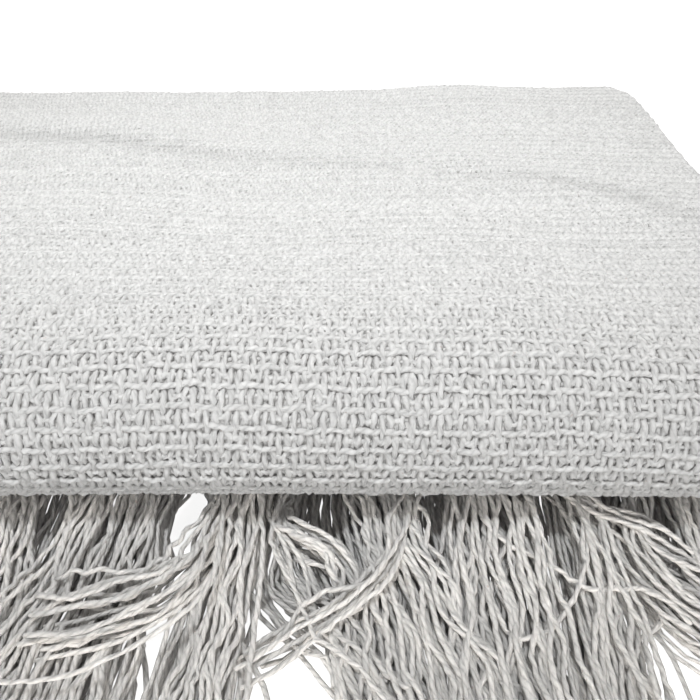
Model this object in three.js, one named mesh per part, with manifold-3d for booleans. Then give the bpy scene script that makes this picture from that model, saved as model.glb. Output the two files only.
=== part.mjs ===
// A woven cotton throw, folded for a shelf: quartered across its width, doubled end to end, then
// laid in three. Both fringed ends come out at the front, set back beneath the big front fold.
// Millimetres: X runs along the front fold, Y from front to back, Z up from the shelf.

import * as THREE from 'three';
import { mergeVertices } from 'three/addons/utils/BufferGeometryUtils.js';
import Module from 'manifold-3d';

// The cloth
const throwWidth = 1270; // across the warps, before folding
const plyThickness = 2.2; // one layer of the open weave
const plyPitch = 2.7; // from one layer to the next inside a bundle
const layerGap = 1.4; // between the three laid layers
const foldedDepth = 250; // front fold to the back of the top layer
const foldedWidth = throwWidth / 4;

// The fringe, parted from the cloth by a hair so that it is a piece of its own
const setback = 36; // the fringe's heading behind the front fold
const headingDepth = 4;
const partingGap = 0.3;
const fringeLength = 92; // from the heading to the longest tips
const locksPerEnd = 72;
const lockWidth = 2.5;
const lockHeight = 1.9;
const lockRoot = 2; // how far a lock runs into its heading
const lockStraight = 1.5; // it leaves the heading level
const fallLength = 30; // and comes down to its bed over this distance
const tuftLength = 40; // where its tuft has fully drawn together
const lengthSpread = 4; // the locks' lengths differ by this much either way
const swayLength = 74; // one wave along a lock
const swayWidth = 190; // and one across the fringe
const tipWidth = 0.6; // of the lock's own
const tipHeight = 0.7;

// Facets
const acrossSteps = 5; // along X, on each side of a ply
const smallTurnSteps = 3;
const bigTurnSteps = 4;
const levelSteps = 3;
const topLevelSteps = 8;
const foldSteps = 6;
const endFoldSteps = 5;

// Worked out from the above
const bundleHalf = 1.5 * plyPitch + plyThickness / 2; // four plies, from the middle to a face
const bundleOffset = 2 * plyPitch; // a bundle's middle from the middle of the doubled cloth
const doubledHalf = bundleOffset + bundleHalf;
const layerRise = 2 * doubledHalf + layerGap;
const foldRadius = layerRise / 2;
const noseRadius = foldRadius + doubledHalf;
const layerMiddles = [0, 1, 2].map((layer) => doubledHalf + layer * layerRise);
const stackHeight = layerMiddles[2] + doubledHalf;
const noseCentreY = noseRadius;
const endFoldCentreY = foldedDepth - doubledHalf;
const backFoldInset = 5; // the lower back fold stands this far in from the top layer's end
const backFoldCentreY = foldedDepth - backFoldInset - noseRadius;
const clothFrontY = setback + headingDepth + partingGap;

// Soft swells of the settled stack, each a wave over the plan that dies out at the bottom layer
const swells = [
  { height: 1.0, lengthX: 330, lengthY: 700, phase: 0.4 },
  { height: 0.7, lengthX: 150, lengthY: -420, phase: 2.1 },
  { height: 0.5, lengthX: 90, lengthY: 260, phase: 4.4 },
];

// How far each fold wanders from a straight line along X
const wanders = [
  { amount: 1.5, lengthX: 240, perHeight: 0.05, phase: 1.1 },
  { amount: 0.8, lengthX: 105, perHeight: -0.09, phase: 3.0 },
];

// Creases that lift the uppermost ply: from one end to the other, with the height at its middle
const creases = [
  { fromX: -150, fromY: 200, toX: 30, toY: 140, height: 2.4, halfWidth: 17 },
  { fromX: 40, fromY: 160, toX: 150, toY: 90, height: 2.0, halfWidth: 16 },
  { fromX: -150, fromY: 95, toX: -60, toY: 85, height: 1.2, halfWidth: 20 },
];

// Sideways drift of each laid layer, and how the plan is drawn in at its corners
const layerDrift = [1.2, -1.4, 0.6];
const cornerDrawX = 9;
const cornerDrawY = 8;
const cornerReach = 34;
const noseDroop = 3.2;
const droopReach = 46;
const edgeStart = 0.45; // of the half width: from here out the stack eases down to its sides
const edgeSink = 1.6;
const edgeSwellLoss = 0.4;
const backStart = 0.55; // of the depth: from here back the folds wander
const frontEnd = 0.3; // and from the front to here, by a smaller share
const frontWander = 0.35;

// Locks of fringe lean together into tufts: a row for each end, the tufts given by their width
const tufts = [
  { end: 'upper', width: 24, squeeze: 0.2, sway: 3.4, phase: 0.7 },
  { end: 'lower', width: 19, squeeze: 0.2, sway: 2.6, phase: 2.9 },
];

const smooth = THREE.MathUtils.smoothstep;
const wave = (turns) => Math.sin(2 * Math.PI * turns);

const woven = new THREE.MeshStandardMaterial({ color: 0xe4e1dc, roughness: 0.95, metalness: 0 });
const yarn = new THREE.MeshStandardMaterial({ color: 0xdedad3, roughness: 0.95, metalness: 0 });

// A ribbon's closed outline from its middle line: each step has a place and a unit normal.
function ribbonOutline(middle, thickness) {
  const side = (step, offset) => new THREE.Vector2(
    step.x + step.nx * offset,
    step.n + step.nn * offset,
  );
  const near = middle.map((step) => side(step, thickness / 2));
  const far = middle.map((step) => side(step, -thickness / 2));
  return near.concat(far.reverse());
}

// The quartered width seen end on: x across, n through the bundle. The outermost ply wraps the
// right-hand edge down to the innermost one, and the two free edges lie at the left.
function quarteredSection() {
  const right = foldedWidth / 2 - bundleHalf;
  const left = -foldedWidth / 2 + (plyPitch + plyThickness) / 2;
  const middle = [];
  const run = (n, direction) => {
    for (let step = 0; step <= acrossSteps; step += 1) {
      const share = direction > 0 ? step / acrossSteps : 1 - step / acrossSteps;
      middle.push({ x: left + (right - left) * share, n, nx: 0, nn: direction });
    }
  };
  const turn = (x, n, radius, bulge, rising, steps) => {
    for (let step = 1; step < steps; step += 1) {
      const angle = Math.PI * (step / steps - 0.5) * rising;
      const outX = Math.cos(angle) * bulge;
      const outN = Math.sin(angle);
      const facing = -bulge * rising;
      middle.push({
        x: x + outX * radius, n: n + outN * radius, nx: outX * facing, nn: outN * facing,
      });
    }
  };
  run(-plyPitch / 2, 1);
  turn(right, 0, plyPitch / 2, 1, 1, smallTurnSteps);
  run(plyPitch / 2, -1);
  turn(left, plyPitch, plyPitch / 2, -1, 1, smallTurnSteps);
  run(1.5 * plyPitch, 1);
  turn(right, 0, 1.5 * plyPitch, 1, -1, bigTurnSteps);
  run(-1.5 * plyPitch, -1);
  const outline = ribbonOutline(middle, plyThickness);
  return THREE.ShapeUtils.isClockWise(outline) ? outline.reverse() : outline;
}

// The way of a bundle's middle through the fold: level runs and round turns in the YZ plane.
// along is 0 in the bottom layer, 1 in the middle one and 2 in the top one.
function foldedPath() {
  const stations = [];
  const level = (layer, side, fromY, toY, steps) => {
    const heading = Math.sign(toY - fromY);
    for (let step = 0; step <= steps; step += 1) {
      stations.push({
        y: fromY + (toY - fromY) * (step / steps),
        z: layerMiddles[layer] + side * bundleOffset,
        ny: 0, nz: heading, along: layer, top: layer === 2 && side > 0,
      });
    }
  };
  const turn = (centreY, centreZ, radius, outside, from, to, layers, steps) => {
    for (let step = 1; step < steps; step += 1) {
      const share = step / steps;
      const angle = THREE.MathUtils.degToRad(from + (to - from) * share);
      stations.push({
        y: centreY + Math.cos(angle) * radius, z: centreZ + Math.sin(angle) * radius,
        ny: Math.cos(angle) * outside, nz: Math.sin(angle) * outside,
        along: layers[0] + (layers[1] - layers[0]) * share, top: false,
      });
    }
  };
  const backZ = (layerMiddles[0] + layerMiddles[1]) / 2;
  const noseZ = (layerMiddles[1] + layerMiddles[2]) / 2;
  const inner = foldRadius - bundleOffset;
  const outer = foldRadius + bundleOffset;
  level(0, 1, clothFrontY, backFoldCentreY, levelSteps);
  turn(backFoldCentreY, backZ, inner, -1, -90, 90, [0, 1], foldSteps);
  level(1, -1, backFoldCentreY, noseCentreY, levelSteps);
  turn(noseCentreY, noseZ, outer, 1, 270, 90, [1, 2], foldSteps);
  level(2, 1, noseCentreY, endFoldCentreY, topLevelSteps);
  turn(endFoldCentreY, layerMiddles[2], bundleOffset, 1, 90, -90, [2, 2], endFoldSteps);
  level(2, -1, endFoldCentreY, noseCentreY, levelSteps);
  turn(noseCentreY, noseZ, inner, -1, 90, 270, [2, 1], foldSteps);
  level(1, 1, noseCentreY, backFoldCentreY, levelSteps);
  turn(backFoldCentreY, backZ, outer, 1, 90, -90, [1, 0], foldSteps);
  level(0, -1, backFoldCentreY, clothFrontY, levelSteps);
  return stations;
}

function creaseLift(x, y) {
  let lift = 0;
  for (const crease of creases) {
    const spanX = crease.toX - crease.fromX;
    const spanY = crease.toY - crease.fromY;
    const share = ((x - crease.fromX) * spanX + (y - crease.fromY) * spanY) / (spanX ** 2 + spanY ** 2);
    const off = Math.hypot(x - crease.fromX - spanX * share, y - crease.fromY - spanY * share);
    const fade = smooth(share, -0.25, 0.25) * (1 - smooth(share, 0.75, 1.25));
    lift = Math.max(lift, crease.height * fade * Math.exp(-((off / crease.halfWidth) ** 2)));
  }
  return lift;
}

// Where a point of the straight stack comes to lie once the stack has settled.
function settle(x, y, z, along) {
  const share = Math.max(0, z - 2 * doubledHalf) / (stackHeight - 2 * doubledHalf);
  const edge = smooth(Math.abs(x) / (foldedWidth / 2), edgeStart, 1);
  const corner = smooth(y, foldedDepth - cornerReach, foldedDepth) ** 2;
  const nearBack = smooth(y, foldedDepth * backStart, foldedDepth);
  const nearFront = 1 - smooth(y, 0, foldedDepth * frontEnd);
  let rise = 0;
  for (const swell of swells) {
    rise += swell.height * wave(x / swell.lengthX + y / swell.lengthY + swell.phase);
  }
  let shift = 0;
  for (const wander of wanders) {
    shift += wander.amount * wave(x / wander.lengthX + wander.perHeight * z / 10 + wander.phase);
  }
  const layer = Math.min(Math.floor(along), 1);
  const drift = THREE.MathUtils.lerp(layerDrift[layer], layerDrift[layer + 1], along - layer);
  const droop = along > 0 ? noseDroop * (1 - smooth(y, -droopReach / 3, droopReach)) : 0;
  return new THREE.Vector3(
    x + drift - Math.sign(x) * cornerDrawX * edge * corner,
    y + shift * (nearBack + frontWander * nearFront * share) - cornerDrawY * edge ** 3 * nearBack,
    z + (rise * (1 - edgeSwellLoss * edge) - edgeSink * edge) * share - droop,
  );
}

// Skins a row of closed outlines into one closed body, its ends shut by the given triangles.
function skin(outlines, capTriangles) {
  const count = outlines[0].length;
  const positions = outlines.flat().flatMap((point) => [point.x, point.y, point.z]);
  const index = [];
  for (let row = 0; row + 1 < outlines.length; row += 1) {
    for (let at = 0; at < count; at += 1) {
      const a = row * count + at;
      const b = row * count + ((at + 1) % count);
      index.push(a, b, b + count, a, b + count, a + count);
    }
  }
  const last = (outlines.length - 1) * count;
  for (const [a, b, c] of capTriangles) {
    index.push(a, c, b, last + a, last + b, last + c);
  }
  const geometry = new THREE.BufferGeometry();
  geometry.setAttribute('position', new THREE.Float32BufferAttribute(positions, 3));
  geometry.setIndex(index);
  return faceOut(geometry);
}

// Turns a closed body's triangles over if they enclose a negative volume.
function faceOut(geometry) {
  const at = geometry.getAttribute('position');
  const corners = [0, 1, 2].map(() => new THREE.Vector3());
  const order = geometry.index.array;
  let volume = 0;
  for (let i = 0; i < order.length; i += 3) {
    corners.forEach((corner, k) => corner.fromBufferAttribute(at, order[i + k]));
    volume += corners[0].dot(corners[1].clone().cross(corners[2]));
  }
  if (volume < 0) {
    for (let i = 0; i < order.length; i += 3) {
      [order[i + 1], order[i + 2]] = [order[i + 2], order[i + 1]];
    }
  }
  geometry.computeVertexNormals();
  return geometry;
}

function sweepSection(section, stations) {
  const outlines = stations.map((station) => section.map((point) => {
    const y = station.y + station.ny * point.y;
    const z = station.z + station.nz * point.y;
    const placed = settle(point.x, y, z, station.along);
    if (station.top && point.y > plyPitch) {
      placed.z += creaseLift(point.x, y);
    }
    return placed;
  }));
  return skin(outlines, THREE.ShapeUtils.triangulateShape(section, []));
}

// One lock of fringe: three-sided, straight out of its heading, down to its bed and level there.
function lockOfFringe(place, plyZ, bedZ, length, tuft) {
  const group = (Math.floor(place / tuft.width + tuft.phase) + 0.5 - tuft.phase) * tuft.width;
  const reach = [
    -lockRoot, lockStraight, fallLength * 0.3, fallLength * 0.6, fallLength, length * 0.66, length,
  ];
  const outlines = reach.map((out) => {
    const fall = smooth(out, lockStraight, fallLength);
    const open = smooth(out, lockStraight, tuftLength);
    const bend = wave(out / swayLength + place / swayWidth + tuft.phase) * tuft.sway;
    const x = place - (place - group) * tuft.squeeze * open + bend * open;
    const z = THREE.MathUtils.lerp(plyZ - lockHeight / 2, bedZ, fall);
    const half = lockWidth / 2 * (out === length ? tipWidth : 1);
    const height = lockHeight * (out === length ? tipHeight : 1);
    const y = setback - out;
    return [
      new THREE.Vector3(x - half, y, z),
      new THREE.Vector3(x + half, y, z),
      new THREE.Vector3(x, y, z + height),
    ];
  });
  return skin(outlines, [[0, 1, 2]]);
}

const wasm = await Module();
wasm.setup();

function toSolid(geometry) {
  const bare = geometry.clone();
  bare.deleteAttribute('normal');
  bare.deleteAttribute('uv');
  const merged = mergeVertices(bare, 1e-5);
  return new wasm.Manifold(new wasm.Mesh({
    numProp: 3,
    vertProperties: new Float32Array(merged.getAttribute('position').array),
    triVerts: new Uint32Array(merged.index.array),
  }));
}

function fromSolid(solid) {
  const mesh = solid.getMesh();
  const geometry = new THREE.BufferGeometry();
  geometry.setAttribute('position', new THREE.Float32BufferAttribute(mesh.vertProperties, 3));
  geometry.setIndex(Array.from(mesh.triVerts));
  geometry.computeVertexNormals();
  return geometry;
}

// A fringed end: the heading keeps the quartered section, and every ply carries each fourth lock.
function fringedEnd(section, side, tuft) {
  const middle = layerMiddles[0] + side * bundleOffset;
  const ends = [setback, setback + headingDepth].map((y) => ({
    y, z: middle, ny: 0, nz: side, along: 0, top: false,
  }));
  let solid = toSolid(sweepSection(section, ends));
  const spread = foldedWidth - 2 * bundleHalf - lockWidth;
  const bedZ = side > 0 ? lockHeight + partingGap : 0;
  for (let lock = 0; lock < locksPerEnd; lock += 1) {
    const place = -spread / 2 + spread * lock / (locksPerEnd - 1);
    const ply = (lock * 3) % 4 - 1.5;
    const uneven = wave(lock * 0.37 + tuft.phase) - 1;
    const length = fringeLength + lengthSpread * uneven;
    const settled = settle(place, setback, middle + side * ply * plyPitch, 0);
    solid = solid.add(toSolid(lockOfFringe(settled.x, settled.z, bedZ, length, tuft)));
  }
  return fromSolid(solid);
}

// Names a piece and adds it to the throw.
function addPiece(group, name, geometry, material) {
  const mesh = new THREE.Mesh(geometry, material);
  mesh.name = name;
  group.add(mesh);
}

// Puts the origin on the shelf beneath the middle of the throw's box.
function centreOnShelf(group) {
  const box = new THREE.Box3().setFromObject(group);
  const middle = box.getCenter(new THREE.Vector3());
  for (const mesh of group.children) {
    mesh.geometry.translate(-middle.x, -middle.y, 0);
  }
}

const section = quarteredSection();
const throwBlanket = new THREE.Group();
addPiece(throwBlanket, 'cloth', sweepSection(section, foldedPath()), woven);
addPiece(throwBlanket, 'fringe_upper_end', fringedEnd(section, 1, tufts[0]), yarn);
addPiece(throwBlanket, 'fringe_lower_end', fringedEnd(section, -1, tufts[1]), yarn);
centreOnShelf(throwBlanket);

export default throwBlanket;
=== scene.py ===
import math
from functools import partial
import bpy
import bmesh
import numpy as np
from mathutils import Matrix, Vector


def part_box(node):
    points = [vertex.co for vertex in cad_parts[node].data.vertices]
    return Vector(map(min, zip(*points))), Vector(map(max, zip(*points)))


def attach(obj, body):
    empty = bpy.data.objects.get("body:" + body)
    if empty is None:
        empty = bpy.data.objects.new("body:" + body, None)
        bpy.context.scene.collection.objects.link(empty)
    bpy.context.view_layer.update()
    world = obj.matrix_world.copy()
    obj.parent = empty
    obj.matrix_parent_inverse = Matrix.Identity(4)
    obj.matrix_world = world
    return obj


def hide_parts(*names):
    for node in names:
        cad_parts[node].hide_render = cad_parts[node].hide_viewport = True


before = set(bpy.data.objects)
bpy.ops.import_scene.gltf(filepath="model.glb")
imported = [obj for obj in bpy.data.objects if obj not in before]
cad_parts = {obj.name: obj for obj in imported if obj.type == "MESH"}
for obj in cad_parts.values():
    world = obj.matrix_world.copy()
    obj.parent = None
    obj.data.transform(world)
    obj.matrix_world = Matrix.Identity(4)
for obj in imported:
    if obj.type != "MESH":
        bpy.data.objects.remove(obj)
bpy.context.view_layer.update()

mm = 0.001
print("frame loaded")


# The fold, as the frame has it, in millimetres

fold = {
    "width": 317.5,
    "depth": 250.0,
    "ply": 2.2,
    "pitch": 2.7,
    "layerGap": 1.4,
    "setback": 36.0,
    "heading": 4.0,
    "backInset": 5.0,
    "drift": (1.2, -1.4, 0.6),
    "cornerX": 9.0,
    "cornerY": 8.0,
    "cornerReach": 34.0,
    "leftCorner": 0.2,  # the far left corner is drawn in and let down only so far, as the picture has it
    "leftFrom": 100,
    "leftTo": 200,
    "droop": 3.2,
    "droopReach": 46.0,
    "edgeStart": 0.45,
    "edgeSink": 1.6,
    "edgeSwellLoss": 0.4,
    "backStart": 0.55,
    "frontEnd": 0.3,
    "frontWander": 0.35,
}
swells = [
    {"height": 1.0, "lengthX": 330.0, "lengthY": 700.0, "phase": 0.4},
    {"height": 0.7, "lengthX": 150.0, "lengthY": -420.0, "phase": 2.1},
    {"height": 0.5, "lengthX": 90.0, "lengthY": 260.0, "phase": 4.4},
]
wanders = [
    {"amount": 1.5, "lengthX": 240.0, "perHeight": 0.05, "phase": 1.1},
    {"amount": 0.8, "lengthX": 105.0, "perHeight": -0.09, "phase": 3.0},
]
creases = [
    {"start": (-150, 200), "end": (30, 140), "height": 2.4, "halfWidth": 17},
    {"start": (40, 160), "end": (150, 90), "height": 2.0, "halfWidth": 16},
    {"start": (-150, 95), "end": (-60, 85), "height": 1.2, "halfWidth": 20},
]
creaseFade = 0.25  # how far before and past each end of its line a crease fades, as a share of it
# the pressed line across the top, with painted shade along it, and how far the far edge stands up along its
# length
pressedLine = {
    "points": [(-150, 183), (-129, 178), (-72, 160), (-26, 149), (22, 141), (60, 130), (93, 128), (109, 119),
               (126, 105), (140, 93), (150, 86)],
    "strength": (1.0, 1.0, 1.0, 0.6, 0.4, 0.4, 0.8, 1.0, 1.0, 0.6, 0.4),
    "depth": 0.9,
    "halfWidth": 5.5,
    # painted shade: how much darker the yarns' colour is on the pressed line
    "shade": 0.14,
}
farEdge = {
    "start": 130,
    "end": 235,
    "x": (-160, -10, 22, 48, 63, 74, 99, 125, 140, 155),
    "lift": (0, 0, 3.2, 4.4, 4.4, 3.6, 2.2, 3.6, 5.2, 6.0),
}

bundleHalf = 1.5 * fold["pitch"] + fold["ply"] / 2
bundleOffset = 2 * fold["pitch"]
doubledHalf = bundleOffset + bundleHalf
layerRise = 2 * doubledHalf + fold["layerGap"]
foldRadius = layerRise / 2
noseRadius = foldRadius + doubledHalf
layerMiddles = [doubledHalf + layer * layerRise for layer in range(3)]
stackHeight = layerMiddles[2] + doubledHalf
endFoldY = fold["depth"] - doubledHalf
backFoldY = fold["depth"] - fold["backInset"] - noseRadius
rightTurnX = fold["width"] / 2 - bundleHalf
leftTurnX = -fold["width"] / 2 + (fold["pitch"] + fold["ply"]) / 2

# the frame's origin is the middle of its box, so the fold's own zero is found from two pieces
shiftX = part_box("cloth")[1][0] / mm - (fold["width"] / 2 + max(fold["drift"]))
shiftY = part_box("fringe_lower_end")[1][1] / mm - (fold["setback"] + fold["heading"])


def smoothStep(value, low, high):
    share = np.clip((value - low) / (high - low), 0, 1)
    return share * share * (3 - 2 * share)


def wave(turns):
    return np.sin(2 * math.pi * turns)


def foldStations(levelSteps, topSteps, turnSteps, endSteps):
    # the way of a four-ply bundle's middle through the fold: y, z, normal y, normal z, layer, on top
    rows = []

    def level(layer, side, fromY, toY, steps):
        heading = math.copysign(1, toY - fromY)
        for step in range(steps + 1):
            y = fromY + (toY - fromY) * step / steps
            z = layerMiddles[layer] + side * bundleOffset
            rows.append((y, z, 0, heading, layer, float(layer == 2 and side > 0)))

    def turn(centreY, centreZ, radius, outside, start, end, layers, steps):
        for step in range(1, steps):
            share = step / steps
            angle = math.radians(start + (end - start) * share)
            along = layers[0] + (layers[1] - layers[0]) * share
            rows.append((centreY + math.cos(angle) * radius, centreZ + math.sin(angle) * radius,
                         math.cos(angle) * outside, math.sin(angle) * outside, along, 0.0))

    backZ = (layerMiddles[0] + layerMiddles[1]) / 2
    noseZ = (layerMiddles[1] + layerMiddles[2]) / 2
    inner = foldRadius - bundleOffset
    outer = foldRadius + bundleOffset
    level(0, 1, fold["setback"], backFoldY, levelSteps)
    turn(backFoldY, backZ, inner, -1, -90, 90, (0, 1), turnSteps)
    level(1, -1, backFoldY, noseRadius, levelSteps)
    turn(noseRadius, noseZ, outer, 1, 270, 90, (1, 2), turnSteps)
    level(2, 1, noseRadius, endFoldY, topSteps)
    turn(endFoldY, layerMiddles[2], bundleOffset, 1, 90, -90, (2, 2), endSteps)
    level(2, -1, endFoldY, noseRadius, levelSteps)
    turn(noseRadius, noseZ, inner, -1, 90, 270, (2, 1), turnSteps)
    level(1, 1, noseRadius, backFoldY, levelSteps)
    turn(backFoldY, backZ, outer, 1, 90, -90, (1, 0), turnSteps)
    level(0, -1, backFoldY, fold["setback"], levelSteps)
    return np.array(rows)


def besideLine(x, y, start, end, stopped=False):
    # how far along a straight line each point is, as a share of it, and how far off it
    spanX, spanY = end[0] - start[0], end[1] - start[1]
    share = ((x - start[0]) * spanX + (y - start[1]) * spanY) / (spanX ** 2 + spanY ** 2)
    if stopped:
        share = np.clip(share, 0, 1)
    return share, np.hypot(x - start[0] - spanX * share, y - start[1] - spanY * share)


def creaseLift(x, y):
    lift = np.zeros_like(x)
    for crease in creases:
        share, off = besideLine(x, y, crease["start"], crease["end"])
        fade = smoothStep(share, -creaseFade, creaseFade)
        fade = fade * (1 - smoothStep(share, 1 - creaseFade, 1 + creaseFade))
        lift = np.maximum(lift, crease["height"] * fade * np.exp(-(off / crease["halfWidth"]) ** 2))
    return lift


def pressedAndPaintedShade(x, y):
    # 1 on the pressed line where it is sharpest, fading to 0 beside it; it sinks the yarns there and sets how
    # much painted shade they get
    most = np.zeros_like(x)
    points, strength = pressedLine["points"], pressedLine["strength"]
    for index in range(len(points) - 1):
        share, off = besideLine(x, y, points[index], points[index + 1], stopped=True)
        size = strength[index] * (1 - share) + strength[index + 1] * share
        most = np.maximum(most, size * np.exp(-(off / pressedLine["halfWidth"]) ** 2))
    return most


def settle(x, y, z, along):
    # where a point of the straight stack comes to lie, still in the fold's own millimetres
    share = np.maximum(0, z - 2 * doubledHalf) / (stackHeight - 2 * doubledHalf)
    edge = smoothStep(np.abs(x) / (fold["width"] / 2), fold["edgeStart"], 1)
    drawnIn = 1 - (1 - fold["leftCorner"]) * smoothStep(y, fold["leftFrom"], fold["leftTo"])
    edge = edge * np.where(x < 0, drawnIn, 1)
    corner = smoothStep(y, fold["depth"] - fold["cornerReach"], fold["depth"]) ** 2
    nearBack = smoothStep(y, fold["depth"] * fold["backStart"], fold["depth"])
    nearFront = 1 - smoothStep(y, 0, fold["depth"] * fold["frontEnd"])
    rise = sum(swell["height"] * wave(x / swell["lengthX"] + y / swell["lengthY"] + swell["phase"])
               for swell in swells)
    shift = sum(bend["amount"] * wave(x / bend["lengthX"] + bend["perHeight"] * z / 10 + bend["phase"])
                for bend in wanders)
    drift = np.interp(along, (0, 1, 2), fold["drift"])
    raised = np.interp(x, farEdge["x"], farEdge["lift"]) * smoothStep(y, farEdge["start"], farEdge["end"])
    atNose = 1 - smoothStep(y, -fold["droopReach"] / 3, fold["droopReach"])
    droop = np.where(along > 0, fold["droop"] * atNose, 0)
    lifted = rise * (1 - fold["edgeSwellLoss"] * edge) - fold["edgeSink"] * edge + raised
    return (x + drift - np.sign(x) * fold["cornerX"] * edge * corner,
            y + shift * (nearBack + fold["frontWander"] * nearFront * share)
            - fold["cornerY"] * edge ** 3 * nearBack,
            z + lifted * share - droop)


def place(x, n, station):
    # x across, n out of the bundle's middle, station as foldStations gives it; in metres
    y = station[..., 0] + station[..., 2] * n
    z = station[..., 1] + station[..., 3] * n
    px, py, pz = settle(x, y, z, station[..., 4])
    outermost = smoothStep(n, 0.5 * fold["pitch"], fold["pitch"]) * station[..., 5]
    pz = pz + (creaseLift(x, y) - pressedLine["depth"] * pressedAndPaintedShade(x, y)) * outermost
    return np.stack([px + shiftX, py + shiftY, pz], axis=-1) * mm


# Materials

def feed(tree, socket, value):
    if isinstance(value, bpy.types.NodeSocket):
        tree.links.new(value, socket)
    elif value is not None:
        socket.default_value = value


def addNode(tree, kind, **values):
    node = tree.nodes.new("ShaderNode" + kind)
    for label, value in values.items():
        feed(tree, node.inputs[label], value)
    return node


def mathNode(tree, operation, first, second=None, third=None):
    node = addNode(tree, "Math")
    node.operation = operation
    for socket, value in zip(node.inputs, (first, second, third)):
        feed(tree, socket, value)
    return node.outputs[0]


def nodeGroup(name, values):
    # takes a colour and some numbers, and gives the cotton's colour and normal
    group = bpy.data.node_groups.new(name, "ShaderNodeTree")
    group.interface.new_socket("Color", in_out="INPUT", socket_type="NodeSocketColor")
    for label, value in values.items():
        group.interface.new_socket(label, in_out="INPUT", socket_type="NodeSocketFloat").default_value = value
    for label, kind in (("Color", "NodeSocketColor"), ("Normal", "NodeSocketVector")):
        group.interface.new_socket(label, in_out="OUTPUT", socket_type=kind)
    return (group, group.nodes.new("NodeGroupInput").outputs, group.nodes.new("NodeGroupOutput").inputs,
            partial(mathNode, group))


def noiseNode(tree, look):
    return addNode(tree, "TexNoise", Vector=addNode(tree, "TexCoord").outputs["Object"], **look).outputs[0]


def bumpNode(tree, height):
    return addNode(tree, "Bump", Distance=mm, Height=height).outputs[0]


def mixNode(tree, kind, share, first, second):
    mix = addNode(tree, "Mix")
    mix.data_type = "RGBA"
    mix.blend_type = kind
    for label, value in (("Factor", share), ("A", first), ("B", second)):
        feed(tree, mix.inputs[label], value)
    return mix.outputs["Result"]


def uvParts(tree):
    return addNode(tree, "SeparateXYZ", Vector=addNode(tree, "UVMap").outputs[0]).outputs[:2]


fibreLook = {
    "given": {"Turns": 14, "Twist": 0.2, "Fuzz": 0.5, "Patch": 0.5},  # where a material doesn't say
    "round": 0.6,  # how round each ply looks across the yarn
    "plyPaintedShade": 0.26,  # painted shade between two plies: how much darker the colour is there
    "fuzzNoise": {"Scale": 1500, "Detail": 4, "Roughness": 0.65},
    "patchNoise": {"Scale": 420, "Detail": 3},
    "fleckNoise": {"Scale": 620, "Detail": 1},
    "fleckRange": {"From Min": 0.76, "From Max": 0.82},
    "fleckColor": (0.52, 0.42, 0.38, 1),
    "fleckStrength": 0.6,
}


def fibreGroup():
    # cotton seen close: two plies twisted together, loose fibres, a colour that is never quite even, and
    # painted shade between the plies and along the pressed line
    group, given, made, calc = nodeGroup("cottonFibre", fibreLook["given"])
    u, v = uvParts(group)
    turned = calc("ADD", calc("MULTIPLY", u, given["Turns"]), v)
    lobes = calc("COSINE", calc("MULTIPLY", turned, 2 * math.pi))
    lobes = calc("POWER", calc("ABSOLUTE", lobes), fibreLook["round"])
    fuzz = noiseNode(group, fibreLook["fuzzNoise"])
    height = calc("ADD", calc("MULTIPLY", lobes, given["Twist"]), calc("MULTIPLY", fuzz, given["Fuzz"]))
    group.links.new(bumpNode(group, height), made["Normal"])
    patch = calc("SUBTRACT", noiseNode(group, fibreLook["patchNoise"]), 0.5)
    shade = calc("MULTIPLY", patch, given["Patch"])
    # painted shade between the plies, where the lobes of the twist meet
    plyPaintedShade = calc("MULTIPLY", calc("SUBTRACT", lobes, 1), fibreLook["plyPaintedShade"])
    # painted shade along the pressed line, read from the attribute laid on the yarns
    line = addNode(group, "Attribute")
    line.attribute_name = "pressedAndPaintedShade"
    light = calc("ADD", calc("ADD", shade, 1), plyPaintedShade)
    light = calc("MULTIPLY", light, calc("SUBTRACT", 1.0, line.outputs["Fac"]))
    # a fleck of seed or dyed fibre here and there
    fleck = noiseNode(group, fibreLook["fleckNoise"])
    rare = addNode(group, "MapRange", Value=fleck, **fibreLook["fleckRange"])
    strength = calc("MULTIPLY", rare.outputs[0], fibreLook["fleckStrength"])
    cotton = mixNode(group, "MULTIPLY", 1, given["Color"], light)
    group.links.new(mixNode(group, "MIX", strength, cotton, fibreLook["fleckColor"]), made["Color"])
    return group


wovenLook = {
    "given": {"Depth": 0.6, "Fuzz": 0.3},
    "fuzzNoise": {"Scale": 900, "Detail": 3},
    "weftRound": 1.5,
    "dash": (2.5, 1.9),  # how sharply a weft stitch ends, and how long it is
    "warpRound": 1.2,
    "warpHeight": 0.8,
    "light": (0.3, 0.72),  # painted light and shade: how much lighter the high yarns are coloured, and how light the low ones
}


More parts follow.
